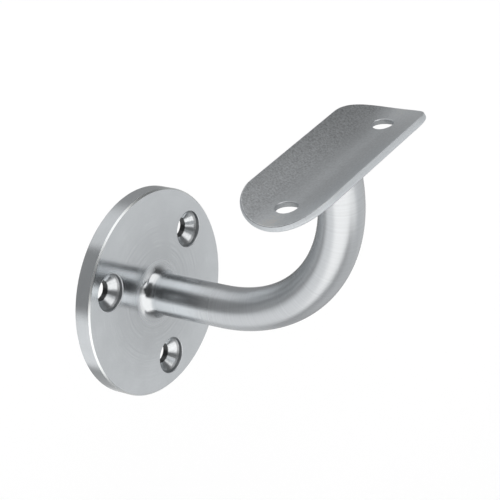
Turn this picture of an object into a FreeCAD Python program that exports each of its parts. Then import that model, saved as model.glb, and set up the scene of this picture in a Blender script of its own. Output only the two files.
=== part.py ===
import FreeCAD, Part
import math
import os

Vector = FreeCAD.Vector
Vector2d = FreeCAD.Base.Vector2d

# A wall bracket for a round handrail, in millimetres.
# The wall is the plane y = 0 and the bracket stands out from it towards -y. The rail runs along x,
# z is up, and the origin is the middle of the flange's wall face.

# Wall flange, a turned disc
flange_diameter = 70.0
flange_thickness = 6.0
flange_front_chamfer = 0.5
flange_back_chamfer = 0.3

# Screw holes of the flange, countersunk for M6 screws
screw_count = 3
screw_circle_diameter = 50.0
lowest_screw_angle = -90.0  # degrees from +x towards +z
screw_bore_diameter = 6.6
sink_diameter = 12.3
sink_cone_angle = 90.0
sink_rim_depth = 1.3  # straight rim above the cone
sink_rim_rounding = 0.25

# Rail that lies on the bracket
rail_diameter = 48.3
rail_offset = 85.0  # wall to the middle of the rail

# Arm, a round bar with one bend
arm_diameter = 14.0
arm_bend_radius = 52.0  # to the middle of the bar
arm_riser_height = 5.0  # upright stretch between the bend and the plate's lowest line
root_fillet_radius = 4.0  # weld between flange and arm, ground hollow

# Saddle plate, a flat blank with round ends that is curved to the rail
saddle_length = 76.2
saddle_width = 30.0  # across the flat blank
saddle_thickness = 2.0
saddle_hole_diameter = 6.6
saddle_hole_spacing = 54.0
saddle_top_rounding = 0.25  # of the outline and of the holes
saddle_underside_rounding = 0.9
saddle_weld_radius = 2.0  # weld between arm and plate, ground hollow

# Worked out from the values above
flange_face = -flange_thickness
arm_radius = arm_diameter / 2
cradle_radius = rail_diameter / 2
underside_radius = cradle_radius + saddle_thickness
bend_start = Vector(0, -rail_offset + arm_bend_radius, 0)
bend_end = Vector(0, -rail_offset, arm_bend_radius)
rail_axis = bend_end + Vector(0, 0, arm_riser_height + underside_radius)
cut_clearance = 1.0  # how far a cutting tool runs on past what it cuts


def turned(points, axis):
    """Solid of revolution about an axis through the origin, from a profile of straight lines."""
    face = Part.Face(Part.makePolygon(points + points[:1]))
    return face.revolve(Vector(0, 0, 0), axis, 360)


def circles_at(shape, radius, y):
    """Edges of the given radius that lie round a hole or rim in the plane at y."""
    found = []
    for edge in shape.Edges:
        if isinstance(edge.Curve, Part.Circle) and abs(edge.Curve.Radius - radius) < 1e-6:
            if abs(edge.Curve.Center.y - y) < 1e-6:
                found.append(edge)
    return found


def screw_hole():
    """What the drill and the countersink take out of the flange, about the y axis."""
    bore = screw_bore_diameter / 2
    mouth = sink_diameter / 2
    rim_bottom = flange_face + sink_rim_depth
    cone_depth = (mouth - bore) / math.tan(math.radians(sink_cone_angle / 2))
    profile = [
        Vector(0, cut_clearance, 0),
        Vector(bore, cut_clearance, 0),
        Vector(bore, rim_bottom + cone_depth, 0),
        Vector(mouth, rim_bottom, 0),
        Vector(mouth, flange_face - cut_clearance, 0),
        Vector(0, flange_face - cut_clearance, 0),
    ]
    return turned(profile, Vector(0, 1, 0))


def wall_flange():
    """Round flange with its screw holes."""
    radius = flange_diameter / 2
    disc = Part.makeCylinder(radius, flange_thickness, Vector(0, 0, 0), Vector(0, -1, 0))
    disc = disc.makeChamfer(flange_front_chamfer, circles_at(disc, radius, flange_face))
    disc = disc.makeChamfer(flange_back_chamfer, circles_at(disc, radius, 0))
    for number in range(screw_count):
        angle = math.radians(lowest_screw_angle + number * 360 / screw_count)
        hole = screw_hole()
        hole.translate(Vector(math.cos(angle), 0, math.sin(angle)) * (screw_circle_diameter / 2))
        disc = disc.cut(hole)
    return disc.makeFillet(sink_rim_rounding, circles_at(disc, sink_diameter / 2, flange_face))


def riser():
    """Upright end of the arm, run on as far as the rail's axis so that it can be coped."""
    return Part.makeCylinder(arm_radius, rail_axis.z - bend_end.z, bend_end, Vector(0, 0, 1))


def seat_body():
    """Round body with the shape of the plate's underside, which the arm and its weld meet."""
    length = arm_diameter + 4 * saddle_weld_radius
    start = rail_axis - Vector(length / 2, 0, 0)
    return Part.makeCylinder(underside_radius, length, start, Vector(1, 0, 0))


def arm():
    """Straight stretch out of the flange, right-angle bend, and riser coped to the plate."""
    reach = flange_face - bend_start.y
    straight = Part.makeCylinder(arm_radius, reach, bend_start, Vector(0, 1, 0))
    section = Part.Face(Part.Wire(Part.makeCircle(arm_radius, bend_start, Vector(0, 1, 0))))
    bend_centre = Vector(0, bend_start.y, bend_end.z)
    bend = section.revolve(bend_centre, Vector(-1, 0, 0), 90)
    return straight.fuse([bend, riser().cut(seat_body())]).removeSplitter()


def root_weld():
    """Weld around the arm's foot, ground to a hollow fillet that runs out into flange and arm."""
    reach = arm_radius + root_fillet_radius
    crest_y = flange_face - root_fillet_radius
    foot = Vector(arm_radius, flange_face, 0)
    toe = Vector(reach, flange_face, 0)
    crest = Vector(arm_radius, crest_y, 0)
    middle = Vector(reach, crest_y, 0) + Vector(-1, 1, 0) * (root_fillet_radius / math.sqrt(2))
    hollow = Part.Arc(toe, middle, crest).toShape()
    profile = Part.Wire([Part.makeLine(foot, toe), hollow, Part.makeLine(crest, foot)])
    return Part.Face(profile).revolve(Vector(0, 0, 0), Vector(0, 1, 0), 360)


def saddle_weld():
    """Small hollow weld all round the arm's coped end, against the plate's underside."""
    post = riser()
    seat = seat_body()
    joined = post.fuse(seat)
    seam = []
    for edge in joined.Edges:
        middle = edge.valueAt((edge.FirstParameter + edge.LastParameter) / 2)
        from_arm = math.hypot(middle.x - bend_end.x, middle.y - bend_end.y)
        from_rail = math.hypot(middle.y - rail_axis.y, middle.z - rail_axis.z)
        if abs(from_arm - arm_radius) < 1e-4 and abs(from_rail - underside_radius) < 1e-4:
            seam.append(edge)
    return joined.makeFillet(saddle_weld_radius, seam).cut(joined)


def blank_walls(inner_radius, outer_radius):
    """Edge of the curved blank, as a band of walls that stand square to the curve.

    The blank curves about the z axis, with its middle at half a turn. Along the axis its outline has
    its true size, and around it the widths are angles, so a round end is an ellipse of angle and length.
    """
    end_radius = saddle_width / 2
    half_angle = end_radius / cradle_radius
    end_centre = saddle_length / 2 - end_radius
    outlines = []
    for radius in (inner_radius, outer_radius):
        cylinder = Part.Cylinder()
        cylinder.Radius = radius
        edges = []
        for side in (1, -1):
            corner = Vector2d(math.pi + side * half_angle, side * end_centre)
            opposite = Vector2d(math.pi + side * half_angle, -side * end_centre)
            tip = Vector2d(math.pi, side * (end_centre + end_radius))
            middle = Vector2d(math.pi, side * end_centre)
            edges.append(Part.Geom2d.Line2dSegment(opposite, corner).toShape(cylinder))
            ellipse = Part.Geom2d.Ellipse2d(tip, corner, middle)
            half_end = Part.Geom2d.ArcOfEllipse2d(ellipse, -math.pi / 2, math.pi / 2)
            edges.append(half_end.toShape(cylinder))
        outlines.append(edges)
    return Part.makeShell([Part.makeRuledSurface(inner, outer) for inner, outer in zip(*outlines)])


def rim_edges(shape, radius):
    """Edges of outline and holes that lie on the face of the given radius about the z axis."""
    found = []
    for edge in shape.Edges:
        span = edge.LastParameter - edge.FirstParameter
        points = [edge.valueAt(edge.FirstParameter + span * part) for part in (0.1, 0.5, 0.9)]
        if all(abs(math.hypot(point.x, point.y) - radius) < 1e-4 for point in points):
            found.append(edge)
    return found


def saddle_plate():
    """Plate for the rail: a blank with round ends and two holes, curved to the rail."""
    band_length = saddle_length + 2 * cut_clearance
    band_start = Vector(0, 0, -band_length / 2)
    band = Part.makeCylinder(underside_radius, band_length, band_start, Vector(0, 0, 1))
    band = band.cut(Part.makeCylinder(cradle_radius, band_length, band_start, Vector(0, 0, 1)))
    walls = blank_walls(cradle_radius - cut_clearance, underside_radius + cut_clearance)
    pieces = band.generalFuse([walls])[0].Solids
    middle = Vector(-(cradle_radius + underside_radius) / 2, 0, 0)
    plate = next(piece for piece in pieces if piece.isInside(middle, 1e-6, False))
    for side in (1, -1):
        place = Vector(0, 0, side * saddle_hole_spacing / 2)
        drill = Part.makeCylinder(saddle_hole_diameter / 2, 2 * underside_radius, place, Vector(-1, 0, 0))
        plate = plate.cut(drill)
    plate = plate.makeFillet(saddle_underside_rounding, rim_edges(plate, underside_radius))
    plate = plate.makeFillet(saddle_top_rounding, rim_edges(plate, cradle_radius))
    plate.rotate(Vector(0, 0, 0), Vector(1, 0, 1), 180)
    plate.translate(rail_axis)
    return plate


def build():
    """Write each piece of the bracket to its own file."""
    os.makedirs("parts", exist_ok=True)
    pieces = {
        "wall_flange": wall_flange(),
        "root_weld": root_weld(),
        "arm": arm(),
        "saddle_weld": saddle_weld(),
        "saddle_plate": saddle_plate(),
    }
    for name, shape in pieces.items():
        solid_count = len(shape.Solids)
        print(name, "valid" if shape.isValid() else "broken", solid_count, "solid", round(shape.Volume), "mm3")
        shape.exportStep("parts/" + name + ".step")


build()
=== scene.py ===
import math

import bpy
from mathutils import Matrix, Vector


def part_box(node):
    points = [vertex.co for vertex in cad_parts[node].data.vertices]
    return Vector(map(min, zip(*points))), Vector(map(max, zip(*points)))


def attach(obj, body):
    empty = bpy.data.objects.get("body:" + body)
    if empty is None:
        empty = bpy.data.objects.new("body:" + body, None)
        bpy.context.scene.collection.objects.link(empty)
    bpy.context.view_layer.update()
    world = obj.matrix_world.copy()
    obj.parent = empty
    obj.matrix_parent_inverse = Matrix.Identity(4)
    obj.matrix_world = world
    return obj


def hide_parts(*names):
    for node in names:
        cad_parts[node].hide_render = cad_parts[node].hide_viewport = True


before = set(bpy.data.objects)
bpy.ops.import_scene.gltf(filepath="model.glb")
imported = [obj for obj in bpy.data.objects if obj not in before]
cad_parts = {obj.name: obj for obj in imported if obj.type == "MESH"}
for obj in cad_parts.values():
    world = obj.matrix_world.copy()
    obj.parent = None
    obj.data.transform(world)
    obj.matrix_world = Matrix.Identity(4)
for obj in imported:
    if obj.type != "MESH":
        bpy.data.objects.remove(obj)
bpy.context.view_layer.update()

mm = 0.001
scene = bpy.context.scene
print("frame loaded:", ", ".join(sorted(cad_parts)))


class Wire:  # a socket that plain sums can be written with
    def __init__(self, desk, socket):
        self.desk = desk
        self.socket = socket

    def math(self, operation, *values):
        return self.desk.add("ShaderNodeMath", {"operation": operation}, dict(enumerate(values)))

    def __add__(self, other):
        return self.math("ADD", self, other)

    def __sub__(self, other):
        return self.math("SUBTRACT", self, other)

    def __rsub__(self, other):
        return self.math("SUBTRACT", other, self)

    def __mul__(self, other):
        return self.math("MULTIPLY", self, other)

    def __truediv__(self, other):
        return self.math("DIVIDE", self, other)

    def __pow__(self, other):
        return self.math("POWER", self, other)

    def __neg__(self):
        return self.math("MULTIPLY", self, -1.0)

    def __abs__(self):
        return self.math("ABSOLUTE", self)

    def __lt__(self, other):
        return self.math("LESS_THAN", self, other)

    def __gt__(self, other):
        return self.math("GREATER_THAN", self, other)

    __radd__ = __add__
    __rmul__ = __mul__

    def atLeast(self, other):
        return self.math("MAXIMUM", self, other)

    def atMost(self, other):
        return self.math("MINIMUM", self, other)


class Desk:  # one node tree and the one way that its nodes are made
    def __init__(self, tree):
        self.tree = tree
        tree.nodes.clear()

    def add(self, kind, settings=None, inputs=None, out=0):
        node = self.tree.nodes.new(kind)
        for name, value in (settings or {}).items():
            setattr(node, name, value)
        for name, value in (inputs or {}).items():
            if isinstance(value, Wire):
                self.tree.links.new(value.socket, node.inputs[name])
            else:
                node.inputs[name].default_value = value
        if not node.outputs:
            return node
        return Wire(self, node.outputs[out])

    def place(self):  # where on the piece, in metres
        return self.add("ShaderNodeTexCoord", out=3)

    def split(self, vector):
        inputs = {"Vector": vector}
        return [self.add("ShaderNodeSeparateXYZ", None, inputs, out=axis) for axis in range(3)]

    def smooth(self, value, start, end, low=0.0, high=1.0):
        inputs = {"Value": value, "From Min": start, "From Max": end, "To Min": low, "To Max": high}
        return self.add("ShaderNodeMapRange", {"interpolation_type": "SMOOTHSTEP"}, inputs)

    def window(self, value, edges, fades):  # one between the two edges, with soft ends
        (start, end), (startFade, endFade) = edges, fades
        rise = self.smooth(value, start - startFade / 2, start + startFade / 2)
        return rise * self.smooth(value, end - endFade / 2, end + endFade / 2, 1.0, 0.0)

    def lineNoise(self, place, detail=3.0, roughness=0.6):
        inputs = {"W": place, "Scale": 1.0, "Detail": detail, "Roughness": roughness}
        return self.add("ShaderNodeTexNoise", {"noise_dimensions": "1D"}, inputs)

    def noise(self, vector, scale, detail=3.0, roughness=0.5):
        inputs = {"Vector": vector, "Scale": scale, "Detail": detail, "Roughness": roughness}
        return self.add("ShaderNodeTexNoise", {"noise_dimensions": "3D"}, inputs)

    def tint(self, colour, share):  # the colour, made lighter or darker by a share that varies
        return self.add("ShaderNodeVectorMath", {"operation": "SCALE"}, {0: colour, "Scale": share})

    def bump(self, height, depth, strength=1.0):
        inputs = {"Height": height, "Strength": strength, "Distance": depth}
        return self.add("ShaderNodeBump", None, inputs)


def distance(across, up):
    return (across * across + up * up) ** 0.5


def degreesFrom(run, rise):  # degrees from the one direction towards the other
    return run.math("ARCTAN2", rise, run) * math.degrees(1.0)


def change(part, share):  # what turns one into the share, as far as the part reaches
    return part * (share - 1.0)


def between(low, high, part):
    return low + part * (high - low)


steelColour = (0.721, 0.750, 0.774)


def steel(name, finish, paint):  # a metal, with what varies over it made by paint
    material = bpy.data.materials.new(name)
    material.use_nodes = True
    desk = Desk(material.node_tree)
    inputs = {"Metallic": 1.0, **paint(desk, finish)}
    haze = inputs.pop("haze", None)
    surface = desk.add("ShaderNodeBsdfPrincipled", None, inputs)
    if haze is not None:  # fine scratches throw part of the gloss wide
        wideInputs = {**inputs, "Roughness": finish["hazeRoughness"]}
        wide = desk.add("ShaderNodeBsdfPrincipled", None, wideInputs)
        surface = desk.add("ShaderNodeMixShader", None, {"Fac": haze, 1: surface, 2: wide})
    desk.add("ShaderNodeOutputMaterial", None, {"Surface": surface})
    print("material", name)
    return material


# camera, where the photograph was taken from

view = {
    "azimuth": -51.345,
    "elevation": 28.618,
    "roll": -10.377,
    "distance": 543.18 * mm,
    "focalPixels": 1626.2,
    "imagePixels": 500,
    "originPixel": (143.486, 289.345),  # where the middle of the flange's wall face is seen
    "sensor": 36.0,
    "clip": (0.01, 50.0),
}


def addCamera():
    azimuth = math.radians(view["azimuth"])
    elevation = math.radians(view["elevation"])
    roll = math.radians(view["roll"])
    back = Vector((
        math.sin(azimuth) * math.cos(elevation),
        -math.cos(azimuth) * math.cos(elevation),
        math.sin(elevation),
    ))
    level = Vector((math.cos(azimuth), math.sin(azimuth), 0.0))
    upright = back.cross(level)
    right = level * math.cos(roll) + upright * math.sin(roll)
    up = upright * math.cos(roll) - level * math.sin(roll)
    half = view["imagePixels"] / 2
    scale = view["distance"] / view["focalPixels"]
    across = (view["originPixel"][0] - half) * scale
    upwards = (half - view["originPixel"][1]) * scale
    place = back * view["distance"] - right * across - up * upwards
    data = bpy.data.cameras.new("photoCamera")
    data.sensor_width = view["sensor"]
    data.lens = view["focalPixels"] * view["sensor"] / view["imagePixels"]
    data.clip_start, data.clip_end = view["clip"]
    camera = bpy.data.objects.new("photoCamera", data)
    scene.collection.objects.link(camera)
    turn = Matrix((right, up, back)).transposed().to_4x4()
    camera.matrix_world = Matrix.Translation(place) @ turn
    scene.camera = camera
    print("camera ready")


addCamera()


# studio: a white room, and soft boxes that only the metal's gloss sees

studio = {
    "room": 1.03,
    "dark": 0.065,
    # span: degrees about the y axis, from +x up to +z. tilt: degrees out of the plane of the wall,
    # the front is negative. soft and fade: how wide the edges of the two are
    "boxes": [
        {"span": (53, 110), "soft": (16, 18), "tilt": (-12, 16), "fade": (20, 24), "power": 1.02},
        {"span": (54, 104), "soft": (14, 14), "tilt": (-56, -4), "fade": (16, 16), "power": 1.04},
        {"span": (42, 119), "soft": (14, 14), "tilt": (-90, -50), "fade": (1, 12), "power": 1.06},
        {"span": (168, 251), "soft": (14, 14), "tilt": (-90, -50), "fade": (1, 12), "power": 1.14},
        {"span": (36, 131), "soft": (14, 14), "tilt": (-90, -63), "fade": (1, 12), "power": 1.02},
        {"span": (155, 251), "soft": (14, 14), "tilt": (-90, -63), "fade": (1, 12), "power": 1.06},
        {"span": (0, 360), "soft": (1, 1), "tilt": (-90, -76), "fade": (1, 10), "power": 0.85},
        {"span": (177, 251), "soft": (14, 14), "tilt": (-90, 16), "fade": (1, 24), "power": 1.14},
        {"span": (235, 300), "soft": (30, 40), "tilt": (-80, -44), "fade": (10, 8), "power": 0.97},
        {"span": (250, 362), "soft": (40, 30), "tilt": (-90, -44), "fade": (1, 10), "power": 0.62},
        {"span": (8, 60), "soft": (16, 10), "tilt": (-90, -54), "fade": (1, 10), "power": 0.85},
        {"span": (258, 370), "soft": (50, 50), "tilt": (-90, 16), "fade": (1, 20), "power": 0.50},
        {"span": (300, 345), "soft": (30, 40), "tilt": (-90, 16), "fade": (1, 20), "power": 0.56},
        {"span": (48, 110), "soft": (40, 14), "tilt": (16, 50), "fade": (24, 30), "power": 0.60},
        {"span": (182, 258), "soft": (24, 24), "tilt": (2, 50), "fade": (24, 30), "power": 0.76},
        {"span": (240, 340), "soft": (20, 60), "tilt": (16, 50), "fade": (24, 30), "power": 0.53},
        {"span": (240, 340), "soft": (20, 60), "tilt": (16, 90), "fade": (24, 1), "power": 0.26},
        {"span": (-30, 60), "soft": (60, 20), "tilt": (16, 90), "fade": (24, 1), "power": 0.20},
        {"span": (0, 360), "soft": (1, 1), "tilt": (16, 90), "fade": (24, 1), "power": 0.16},
    ],
    "plainTint": (1.0, 1.0, 1.0, 1.0),
    "lampTint": (1.02, 1.0, 0.98, 1.0),
    "lampFrom": (0.7, 1.1),  # how bright a box is where the tint of the lamps comes in
    "floorHeight": -150 * mm,
    "floorSize": 12.0,
    "floorColour": (0.98, 0.98, 0.98, 1.0),
}


def boxLight(desk, angle, tilt):  # the brightest of the boxes in each direction
    light = None
    for box in studio["boxes"]:
        start, end = box["span"]
        half = (end - start) / 2
        offset = angle.math("WRAP", angle - (start + end) / 2, -180.0, 180.0)
        part = desk.window(offset, (-half, half), box["soft"])
        part = part * desk.window(tilt, box["tilt"], box["fade"]) * box["power"]
        light = part if light is None else light.atLeast(part)
    return light


def addRoom():
    world = bpy.data.worlds.new("studio")
    scene.world = world
    world.use_nodes = True
    desk = Desk(world.node_tree)
    x, y, z = desk.split(desk.add("ShaderNodeTexCoord"))
    tilt = y.math("ARCSINE", y) * math.degrees(1.0)
    light = boxLight(desk, degreesFrom(x, z), tilt) + studio["dark"]
    gloss = desk.add("ShaderNodeLightPath", out=3)
    strength = gloss * (light - studio["room"]) + studio["room"]
    bright = gloss * desk.smooth(light, *studio["lampFrom"])
    tints = {"Factor": bright, 6: studio["plainTint"], 7: studio["lampTint"]}
    colour = desk.add("ShaderNodeMix", {"data_type": "RGBA"}, tints, out=2)
    background = desk.add("ShaderNodeBackground", None, {"Color": colour, "Strength": strength})
    desk.add("ShaderNodeOutputWorld", None, {"Surface": background})
    scene.view_settings.view_transform = "Standard"


def addFloor():
    size = studio["floorSize"]
    mesh = bpy.data.meshes.new("floor")
    corners = [(-size, -size), (size, -size), (size, size), (-size, size)]
    mesh.from_pydata([(a, b, studio["floorHeight"]) for a, b in corners], [], [(0, 1, 2, 3)])
    floor = bpy.data.objects.new("floor", mesh)
    scene.collection.objects.link(floor)
    floor.visible_glossy = False
    material = bpy.data.materials.new("paleFloor")
    material.use_nodes = True
    desk = Desk(material.node_tree)
    surface = desk.add("ShaderNodeBsdfDiffuse", None, {"Color": studio["floorColour"]})
    desk.add("ShaderNodeOutputMaterial", None, {"Surface": surface})
    mesh.materials.append(material)
    print("studio ready")


addRoom()
addFloor()


# wall flange, faced and turned on a lathe

flange = {
    "colour": steelColour,
    "roughness": (0.26, 0.11),  # at the weld's toe and farther out
    "roughnessReach": (11.0 * mm, 17.0 * mm),
    "haze": 0.18,
    "hazeRoughness": 0.36,
    "ringPitch": 0.11 * mm,
    "ringDepth": 0.009 * mm,
    "wideRingPitch": 0.80 * mm,
    "wideRingShare": 0.36,
    "wideRingReach": (12.0 * mm, 30.0 * mm),
    "wideRingFar": 0.25,  # what is left of the wide rings farther out
    "wideRingCloud": (0.4, 0.6),  # they come and go with the cloud
    "cloud": 140.0,
    "cloudShare": 0.16,
    # painted shade near the hub and painted light towards the rim
    "hubToRim": (10.0 * mm, 34.0 * mm),
    "hubShadeToRimShare": (0.94, 1.11),
    "holeCount": 3,
    "holeCircle": 25.0 * mm,
    "lowestHole": -90.0,
    "holeReach": 6.4 * mm,
    "coneEnd": -1.5 * mm,
    "boreReach": (3.3 * mm, 3.6 * mm),
    # painted shade in the screw holes: bore, band at the mouth and straight wall
    "boreShadeShare": 0.10,
    "bandReach": (5.45 * mm, 5.75 * mm),
    "bandShadeShare": 0.56,
    "wallReach": (6.0 * mm, 6.1 * mm),
    "wallShadeShare": 0.52,
    "lipDepth": (-5.85 * mm, -5.75 * mm),
    "lipShare": 0.95,
    "holeHaze": 0.42,
    "holeRoughness": 0.15,
    "bandRoughness": 0.42,
    "holeGrain": 2500.0,
    "holeGrainShare": 0.6,
    "holeRingShare": 0.1,  # of the rings' depth, in the holes
    "chamferReach": (34.5 * mm, 34.6 * mm),
    "chamferDepth": (-5.5 * mm, -5.4 * mm),
    # painted highlight on the chamfer
    "chamferHighlightShare": 1.2,
    "chamferRoughness": 0.3,
    # painted shade on the rim's lower left
    "rimShadeAngle": (15.0, 37.0),  # degrees from -x downwards
    "rimShadeFade": (9.0, 9.0),
    "rimShadeShare": 0.60,
}


def holeDistance(x, z, finish):  # to the middle of the nearest screw hole
    nearest = None
    for number in range(finish["holeCount"]):
        angle = math.radians(finish["lowestHole"] + 360 / finish["holeCount"] * number)
        offX = x - math.cos(angle) * finish["holeCircle"]
        offZ = z - math.sin(angle) * finish["holeCircle"]
        own = distance(offX, offZ)
        nearest = own if nearest is None else nearest.atMost(own)
    return nearest


# turning marks, with painted light and shade
def turnedFinishAndPaintedLight(desk, finish):
    place = desk.place()
    x, y, z = desk.split(place)
    reach = distance(x, z)

    # the holes, with painted shade: black bore, bright cone, darker band at its mouth, darker
    # straight wall, rounded lip
    hole = holeDistance(x, z, finish)
    inHole = (hole < finish["holeReach"]) * (y < finish["coneEnd"])
    inHole = inHole.atLeast(hole < finish["boreReach"][1])
    band = desk.smooth(hole, *finish["bandReach"])
    wall = desk.smooth(hole, *finish["wallReach"])
    holeShadeAndGrain = desk.smooth(hole, *finish["boreReach"], finish["boreShadeShare"], 1.0)
    holeShadeAndGrain = holeShadeAndGrain + change(band, finish["bandShadeShare"])
    holeShadeAndGrain = holeShadeAndGrain + wall * (finish["wallShadeShare"] - finish["bandShadeShare"])
    grain = desk.noise(place, finish["holeGrain"])
    holeShadeAndGrain = holeShadeAndGrain * (1.0 + (grain - 0.5) * finish["holeGrainShare"])
    holeShadeAndGrain = between(finish["lipShare"], holeShadeAndGrain, desk.smooth(y, *finish["lipDepth"]))

    # the face, with fine turning rings and wider ones round the hub, and painted shade that darkens
    # it towards the hub and lightens it towards the rim
    rings = desk.lineNoise((reach - y) / finish["ringPitch"])
    wideRings = desk.lineNoise((reach - y) / finish["wideRingPitch"])
    cloud = desk.noise(place, finish["cloud"])
    nearHub = desk.smooth(reach, *finish["wideRingReach"], 1.0, finish["wideRingFar"])
    nearHub = nearHub * desk.smooth(cloud, *finish["wideRingCloud"])
    share = desk.smooth(reach, *finish["hubToRim"], *finish["hubShadeToRimShare"])
    share = share + (wideRings - 0.5) * nearHub * finish["wideRingShare"]
    share = share + (cloud - 0.5) * finish["cloudShare"]
    share = share * (1.0 + inHole * (holeShadeAndGrain - 1.0))

    # the chamfer, with a painted highlight, and the rim, with painted shade on its lower left
    outside = desk.smooth(reach, *finish["chamferReach"])
    onRim = desk.smooth(y, *finish["chamferDepth"])
    chamfer = outside * (1.0 - onRim)
    angle = degreesFrom(-x, -z)
    paintedShade = desk.window(angle, finish["rimShadeAngle"], finish["rimShadeFade"]) * outside * onRim
    # painted highlight on the chamfer and painted shade on the rim's lower left
    edges = change(chamfer, finish["chamferHighlightShare"]) + change(paintedShade, finish["rimShadeShare"])
    share = share * (1.0 + edges)

    face = desk.smooth(reach, *finish["roughnessReach"], *finish["roughness"])
    face = between(face, finish["chamferRoughness"], chamfer)
    holeRoughness = between(finish["holeRoughness"], finish["bandRoughness"], band)
    ringStrength = 1.0 + change(inHole, finish["holeRingShare"])
    return {
        "Base Color": desk.tint(finish["colour"], share),
        "Roughness": between(face, holeRoughness, inHole),
        "Normal": desk.bump(rings, finish["ringDepth"], ringStrength),
        "haze": between(finish["haze"], finish["holeHaze"], inHole),
    }


# weld at the arm's foot, ground hollow and polished

footWeld = {
    "barRadius": 7.0 * mm,
    "legReach": 4.0 * mm,
    "tuck": 0.1 * mm,  # how far it reaches into the bar
    "sharpAngle": math.radians(40),
    "arcSteps": 28,
    "sides": 144,
    "colour": steelColour,
    "roughness": (0.13, 0.34),  # on the arm and at the toe
    "roughnessReach": (8.8 * mm, 10.8 * mm),
    "crestReach": (7.1 * mm, 7.9 * mm),
    "crestRoughness": 0.27,
    "haze": (0.06, 0.38),
    "hazeRoughness": 0.36,
    "ringPitch": 0.11 * mm,
    "ringDepth": 0.006 * mm,
    "ringShare": 0.04,
    # painted shade on the weld's underside below the arm
    "shadeFrom": (14.0, 23.0),  # degrees from -x downwards
    "shadeTo": (150.0, 175.0),
    "shadeReach": (7.5 * mm, 9.3 * mm),
    "shadeShare": 0.42,
    "upperAngle": (54.0, 96.0),  # degrees from -x upwards, and so are those below
    "upperFade": (12.0, 12.0),
    "upperReach": (8.0 * mm, 8.7 * mm),
    "upperRoughness": 0.34,
    # a painted dark reflection streak on the weld
    "darkReflectionAngle": (19.0, 44.0),
    "darkReflectionFade": (10.0, 10.0),
    "darkReflectionReach": (7.6 * mm, 8.4 * mm),
    "darkReflectionShare": 0.60,
    "tipAngle": (27.0, 42.0),  # where the painted dark reflection ends in a point
    "tipFade": (9.0, 9.0),
    "tipReach": (8.2 * mm, 10.0 * mm),
    "tipReachFade": (0.6 * mm, 0.9 * mm),
    "tipShare": 0.45,
}


def underside(desk, x, z, finish):  # one on the side below the arm, where shade is painted, nought above it
    angle = degreesFrom(-x, -z)
    rise = desk.smooth(angle, *finish["shadeFrom"])
    return rise * desk.smooth(angle, *finish["shadeTo"], 1.0, 0.0)


# grinding marks, with painted shade and painted dark reflections
def groundFinishAndPaintedShade(desk, finish):
    x, y, z = desk.split(desk.place())
    reach = distance(x, z)
    angle = degreesFrom(-x, z)
    rings = desk.lineNoise((reach - y) / finish["ringPitch"])
    # painted shade below the arm
    paintedShade = underside(desk, x, z, finish) * desk.smooth(reach, *finish["shadeReach"], 1.0, 0.0)
    # a painted dark reflection streak, ending in a point
    darkReflection = desk.window(angle, finish["darkReflectionAngle"], finish["darkReflectionFade"])
    darkReflection = darkReflection * desk.smooth(reach, *finish["darkReflectionReach"], 1.0, 0.0)
    tip = desk.window(angle, finish["tipAngle"], finish["tipFade"])
    tip = tip * desk.window(reach, finish["tipReach"], finish["tipReachFade"])
    share = 1.0 + (rings - 0.5) * finish["ringShare"]
    share = share + change(paintedShade, finish["shadeShare"]) + change(darkReflection, finish["darkReflectionShare"])
    share = share * (1.0 + change(tip, finish["tipShare"]))
    upper = desk.window(angle, finish["upperAngle"], finish["upperFade"])
    upper = upper * desk.smooth(reach, *finish["upperReach"])
    crest = desk.smooth(reach, *finish["crestReach"], finish["crestRoughness"], 0.0)
    roughness = desk.smooth(reach, *finish["roughnessReach"], *finish["roughness"])
    return {
        "Base Color": desk.tint(finish["colour"], share),
        "Roughness": roughness.atLeast(upper * finish["upperRoughness"]).atLeast(crest),
        "Normal": desk.bump(rings, finish["ringDepth"]),
        "haze": desk.smooth(reach, *finish["roughnessReach"], *finish["haze"]),
    }


def makeFootWeld():  # a ring turned about the arm's axis
    low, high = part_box("root_weld")
    leg = footWeld["legReach"]
    inner = footWeld["barRadius"] - footWeld["tuck"]
    toe = footWeld["barRadius"] + leg
    profile = [(inner, high.y)]
    for step in range(footWeld["arcSteps"] + 1):
        angle = math.pi / 2 * step / footWeld["arcSteps"]
        profile.append((toe - leg * math.sin(angle), high.y - leg + leg * math.cos(angle)))
    profile.append((inner, low.y))
    sides = footWeld["sides"]
    points = []
    for side in range(sides):
        turn = 2 * math.pi * side / sides
        points += [(reach * math.cos(turn), y, reach * math.sin(turn)) for reach, y in profile]
    count = len(profile)
    faces = []
    for side in range(sides):
        here, there = side * count, (side + 1) % sides * count
        for step in range(count):
            after = (step + 1) % count
            faces.append((here + step, there + step, there + after, here + after))
    mesh = bpy.data.meshes.new("footWeld")
    mesh.from_pydata(points, [], faces)
    mesh.shade_smooth()
    mesh.set_sharp_from_angle(angle=footWeld["sharpAngle"])
    mesh.materials.append(steel("groundSteel", footWeld, groundFinishAndPaintedShade))
    piece = bpy.data.objects.new("footWeld", mesh)
    scene.collection.objects.link(piece)
    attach(piece, "root")
    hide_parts("root_weld")
    print("weld turned, faces", len(faces))


makeFootWeld()


# arm, a round bar swept along its bend and linished across

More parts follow.
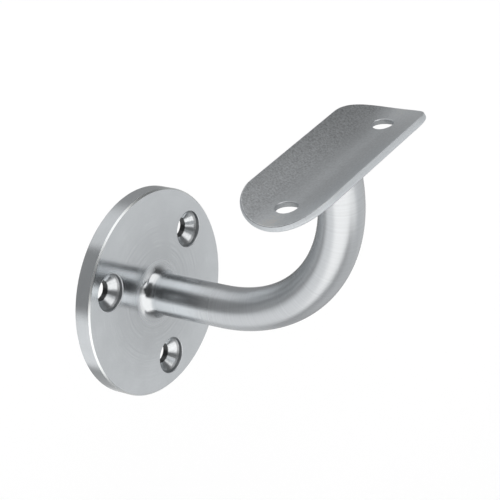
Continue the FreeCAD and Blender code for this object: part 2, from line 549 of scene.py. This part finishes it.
armLow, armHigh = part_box("arm")
arm = {
    "barRadius": (armHigh.x - armLow.x) / 2,
    "footDepth": -armHigh.y,
    "straightReach": 27.0 * mm,
    "bendRadius": 52.0 * mm,
    "riserHeight": 5.0 * mm,
    "railOffset": 85.0 * mm,
    "seatRadius": 26.15 * mm,
    "ringCount": 115,
    "barSides": 96,
    "copeFrom": 0.9999,  # share of the length from which the rings are moved
    "colour": steelColour,
    "roughness": (0.17, 0.25),  # at the foot and in the bend
    "roughnessReach": (12.0 * mm, 55.0 * mm),
    "haze": (0.05, 0.27),
    "hazeReach": (5.0 * mm, 30.0 * mm),
    "hazeRoughness": 0.40,
    "linePitch": 0.12 * mm,
    "lineDepth": 0.016 * mm,
    "wideLinePitch": 0.8 * mm,
    "wideLineShare": 0.20,
    "lengthLinePitch": 0.3 * mm,
    "lengthLineDepth": 1.2,
    "lengthLineReach": (-36.0 * mm, -20.0 * mm),
    # painted shade on the inner side of the bend
    "innerReach": (46.4 * mm, 51.8 * mm),  # from the middle of the bend
    "innerAlong": (42.0 * mm, 66.0 * mm),
    "innerBendShadeShare": 0.53,
    # a painted dark reflection streak along the arm near its foot
    "darkReflectionAngle": (14.0, 46.0),  # degrees from -x upwards
    "darkReflectionFade": (12.0, 12.0),
    "darkReflectionAlong": (4.0 * mm, 24.0 * mm),
    "darkReflectionAlongFade": (5.0 * mm, 12.0 * mm),
    "darkReflectionShare": 0.60,
    # painted shade on the arm's upper side near its foot
    "upperAngle": (98.0, 175.0),
    "upperFade": (8.0, 8.0),
    "upperAlong": (-9.0 * mm, 22.0 * mm),
    "upperAlongFade": (5.0 * mm, 14.0 * mm),
    "upperShadeShare": 0.72,
    # painted shade on the arm's underside near its foot
    "shadeFrom": (17.0, 26.0),  # degrees from -x downwards
    "shadeTo": (150.0, 175.0),
    "shadeReach": (-23.0 * mm, -13.0 * mm),
    "shadeShare": 0.38,
}


# linishing marks, with painted shade and painted dark reflections
def linishedFinishAndPaintedShade(desk, finish):
    along = desk.add("ShaderNodeAttribute", {"attribute_name": "along"}, out=2)
    x, y, z = desk.split(desk.place())
    angle = degreesFrom(-x, z)
    around = angle * math.radians(finish["barRadius"])

    lines = desk.lineNoise(along / finish["linePitch"])
    wideLines = desk.lineNoise(along / finish["wideLinePitch"])
    lengthLines = desk.lineNoise(around / finish["lengthLinePitch"])
    nearFoot = desk.smooth(y, *finish["lengthLineReach"])
    height = lines + lengthLines * nearFoot * finish["lengthLineDepth"]

    # painted shade below the arm near its foot
    paintedShade = underside(desk, x, z, finish) * desk.smooth(y, *finish["shadeReach"])
    share = 1.0 + (wideLines - 0.5) * finish["wideLineShare"] + change(paintedShade, finish["shadeShare"])
    # painted shade on the inner side of the bend
    offY = y + (finish["footDepth"] + finish["straightReach"])
    offZ = z - finish["bendRadius"]
    inner = desk.smooth(distance(offY, offZ), *finish["innerReach"], 1.0, 0.0)
    inner = inner * desk.smooth(along, *finish["innerAlong"])
    share = share * (1.0 + change(inner, finish["innerBendShadeShare"]))
    # a painted dark reflection streak
    darkReflection = desk.window(angle, finish["darkReflectionAngle"], finish["darkReflectionFade"])
    darkReflection = darkReflection * desk.window(along, finish["darkReflectionAlong"], finish["darkReflectionAlongFade"])
    # painted shade on the upper side near the foot
    upper = desk.window(angle, finish["upperAngle"], finish["upperFade"])
    upper = upper * desk.window(along, finish["upperAlong"], finish["upperAlongFade"])
    shades = change(darkReflection, finish["darkReflectionShare"]) + change(upper, finish["upperShadeShare"])
    share = share * (1.0 + shades)
    return {
        "Base Color": desk.tint(finish["colour"], share),
        "Roughness": desk.smooth(along, *finish["roughnessReach"], *finish["roughness"]),
        "Normal": desk.bump(height, finish["lineDepth"]),
        "haze": desk.smooth(along, *finish["hazeReach"], *finish["haze"]),
    }


def armTree(sizes, material):  # the bar's path is a rule of the length along it
    tree = bpy.data.node_groups.new("sweptArm", "GeometryNodeTree")
    desk = Desk(tree)
    sockets = {}
    for name, value in sizes.items():
        kind = "NodeSocketInt" if isinstance(value, int) else "NodeSocketFloat"
        sockets[name] = tree.interface.new_socket(name=name, in_out="INPUT", socket_type=kind)
    tree.interface.new_socket(name="Geometry", in_out="OUTPUT", socket_type="NodeSocketGeometry")
    entry = tree.nodes.new("NodeGroupInput")
    size = {name: Wire(desk, entry.outputs[name]) for name in sizes}

    quarter = size["bendRadius"] * (math.pi / 2)
    length = size["straightReach"] + quarter + size["riserHeight"]
    line = desk.add("GeometryNodeCurvePrimitiveLine")
    resample = {"Curve": line, "Count": size["ringCount"]}
    line = desk.add("GeometryNodeResampleCurve", None, resample)
    along = desk.add("GeometryNodeSplineParameter") * length
    straight = along.atMost(size["straightReach"])
    turn = (along - size["straightReach"]) / size["bendRadius"]
    turn = turn.atLeast(0.0).atMost(math.pi / 2)
    rise = (along - size["straightReach"] - quarter).atLeast(0.0)
    y = -(size["footDepth"] + straight + size["bendRadius"] * turn.math("SINE", turn))
    z = size["bendRadius"] * (1.0 - turn.math("COSINE", turn)) + rise
    place = desk.add("ShaderNodeCombineXYZ", None, {"Y": y, "Z": z})
    named = {"Geometry": line, "Name": "along", "Value": along}
    path = desk.add("GeometryNodeStoreNamedAttribute", {"data_type": "FLOAT"}, named)
    path = desk.add("GeometryNodeSetPosition", None, {"Geometry": path, "Position": place})

    circle = {"Resolution": size["barSides"], "Radius": size["barRadius"]}
    section = desk.add("GeometryNodeCurvePrimitiveCircle", None, circle)
    sweep = {"Curve": path, "Profile Curve": section, "Fill Caps": True}
    bar = desk.add("GeometryNodeCurveToMesh", None, sweep)

    # the upper end is coped to the round underside of the plate
    alongInput = {"Name": "along"}
    alongBar = desk.add("GeometryNodeInputNamedAttribute", {"data_type": "FLOAT"}, alongInput)
    atEnd = alongBar > length * size["copeFrom"]
    offY = desk.split(desk.add("GeometryNodeInputPosition"))[1] + size["railOffset"]
    seat = size["seatRadius"]
    lift = seat - (seat * seat - offY * offY) ** 0.5
    offset = desk.add("ShaderNodeCombineXYZ", None, {"Z": lift})
    cope = {"Geometry": bar, "Selection": atEnd, "Offset": offset}
    bar = desk.add("GeometryNodeSetPosition", None, cope)
    bar = desk.add("GeometryNodeSetShadeSmooth", None, {"Geometry": bar})
    bar = desk.add("GeometryNodeRealizeInstances", None, {"Geometry": bar})
    coated = {"Geometry": bar, "Material": material}
    bar = desk.add("GeometryNodeSetMaterial", None, coated)
    desk.add("NodeGroupOutput", None, {"Geometry": bar})
    return tree, sockets


def makeArm():
    names = ("barRadius", "footDepth", "straightReach", "bendRadius", "riserHeight")
    names += ("railOffset", "seatRadius", "ringCount", "barSides", "copeFrom")
    sizes = {name: arm[name] for name in names}
    tree, sockets = armTree(sizes, steel("linishedSteel", arm, linishedFinishAndPaintedShade))
    holder = bpy.data.objects.new("sweptArmHolder", bpy.data.meshes.new("empty"))
    scene.collection.objects.link(holder)
    modifier = holder.modifiers.new("sweptArm", "NODES")
    modifier.node_group = tree
    for name, value in sizes.items():
        modifier[sockets[name].identifier] = value
    depsgraph = bpy.context.evaluated_depsgraph_get()
    swept = holder.evaluated_get(depsgraph)
    mesh = bpy.data.meshes.new_from_object(swept, depsgraph=depsgraph)
    holder.modifiers.remove(modifier)
    bpy.data.objects.remove(holder)
    piece = bpy.data.objects.new("bentArm", mesh)
    scene.collection.objects.link(piece)
    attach(piece, "root")
    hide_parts("arm")
    print("arm swept, faces", len(mesh.polygons))


makeArm()


# saddle plate, tumbled matt, with brushed edges

plate = {
    "colour": steelColour,
    "roughness": 0.34,
    "grain": 900.0,
    "grainDetail": 4.0,
    "grainRoughness": 0.6,
    "grainDepth": 0.03 * mm,
    "grainShare": 0.2,
    "mottle": 1700.0,
    "mottleDetail": 3.0,
    "mottleShare": 1.2,
    "mottleFront": 0.35,  # what is left of the mottle on the side away from the wall
    "hollowRadius": 24.15 * mm,
    "railAxis": (-85.0 * mm, 83.15 * mm),
    "edgeDepth": (0.1 * mm, 0.3 * mm),
    "frontEdge": (97.9 * mm, 98.9 * mm),  # from the wall
    "frontEdgeShare": 0.8,
    "edgeRoughness": 0.7,
    "edgeHighlightShare": 1.18,
    # lighter edges: a painted highlight, with brushing lines
    "edgeLinePitch": 0.25 * mm,
    "edgeLineShare": 0.2,
    "rimDepth": (0.02 * mm, 0.12 * mm, 0.3 * mm),
    "rimAlong": (-34.0 * mm, -14.0 * mm),
    # a painted shadow line round the rim at the near end
    "rimLineShadeShare": 0.5,
    "underDepth": (1.85 * mm, 1.97 * mm),
    # painted shade on the underside
    "underShadeShare": 0.6,
    "endReach": (18.0 * mm, 38.0 * mm),
    # painted light at the ends, painted shade at the far end, a painted highlight along the crease
    "endLightShare": 0.28,
    "wallSide": (-83.0 * mm, -77.0 * mm),
    "farAlong": (-10.0 * mm, 25.0 * mm),
    "farSide": (-89.0 * mm, -81.0 * mm),
    "farShadeShare": -0.14,
    "crease": (-87.5 * mm, -83.5 * mm),
    "creaseFade": (3.5 * mm, 3.5 * mm),
    "creaseHighlightShare": 0.09,
    "holeSpan": 27.0 * mm,
    "holeReach": 3.8 * mm,
    # painted shade on the walls of the holes
    "holeShadeShare": 0.72,
}


# tumbled grain, with painted light and shade
def tumbledFinishAndPaintedLight(desk, finish):
    place = desk.place()
    x, y, z = desk.split(place)
    offY = y - finish["railAxis"][0]
    offZ = z - finish["railAxis"][1]
    depth = distance(offY, offZ) - finish["hollowRadius"]

    # the hollow: grained, with painted light at its ends, a painted highlight along the crease and
    # painted shade at the far end
    grain = desk.noise(place, finish["grain"], finish["grainDetail"], finish["grainRoughness"])
    mottle = desk.noise(place, finish["mottle"], finish["mottleDetail"], finish["grainRoughness"])
    wallSide = desk.smooth(y, *finish["wallSide"])
    ends = desk.smooth(abs(x), *finish["endReach"]) * finish["endLightShare"]
    far = desk.smooth(x, *finish["farAlong"]) * desk.smooth(y, *finish["farSide"])
    crease = desk.window(y, finish["crease"], finish["creaseFade"])
    paintedLightAndShade = ends * (1.0 - wallSide) + far * finish["farShadeShare"] + crease * finish["creaseHighlightShare"]
    speckle = (mottle - 0.5) * finish["mottleShare"] * between(finish["mottleFront"], 1.0, wallSide)
    share = 1.0 + paintedLightAndShade + (grain - 0.5) * finish["grainShare"] + speckle

    # the edges, lighter with a painted highlight and brushing lines, and the walls of the holes,
    # darker with painted shade
    front = desk.smooth(-y, *finish["frontEdge"]) * finish["frontEdgeShare"]
    edge = desk.smooth(depth, *finish["edgeDepth"]).atLeast(front)
    lines = desk.lineNoise(x / finish["edgeLinePitch"])
    edgeHighlightShare = finish["edgeHighlightShare"] + (lines - 0.5) * finish["edgeLineShare"]
    share = between(share, edgeHighlightShare, edge)
    fromHole = distance(abs(x) - finish["holeSpan"], offY)
    inHole = (fromHole < finish["holeReach"]) * edge
    share = between(share, finish["holeShadeShare"], inHole)

    # a painted shadow line round the rim, and painted shade on the underside
    start, middle, end = finish["rimDepth"]
    rim = desk.smooth(depth, start, middle) * desk.smooth(depth, middle, end, 1.0, 0.0)
    rim = rim * desk.smooth(x, *finish["rimAlong"], 1.0, 0.0)
    share = share * (1.0 + change(rim, finish["rimLineShadeShare"]))
    share = between(share, finish["underShadeShare"], desk.smooth(depth, *finish["underDepth"]))
    return {
        "Base Color": desk.tint(finish["colour"], share),
        "Roughness": between(finish["roughness"], finish["edgeRoughness"], edge),
        "Normal": desk.bump(grain, finish["grainDepth"]),
    }


coats = {
    "wall_flange": steel("turnedSteel", flange, turnedFinishAndPaintedLight),
    "root_weld": steel("innerSteel", footWeld, groundFinishAndPaintedShade),
    "arm": steel("plainSteel", footWeld, groundFinishAndPaintedShade),
    "saddle_weld": steel("weldSteel", footWeld, groundFinishAndPaintedShade),
    "saddle_plate": steel("tumbledSteel", plate, tumbledFinishAndPaintedLight),
}
for node, coat in coats.items():
    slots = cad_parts[node].material_slots
    for slot in slots:
        slot.material = coat
    print("finish", coat.name, "on", node, "slots", len(slots))
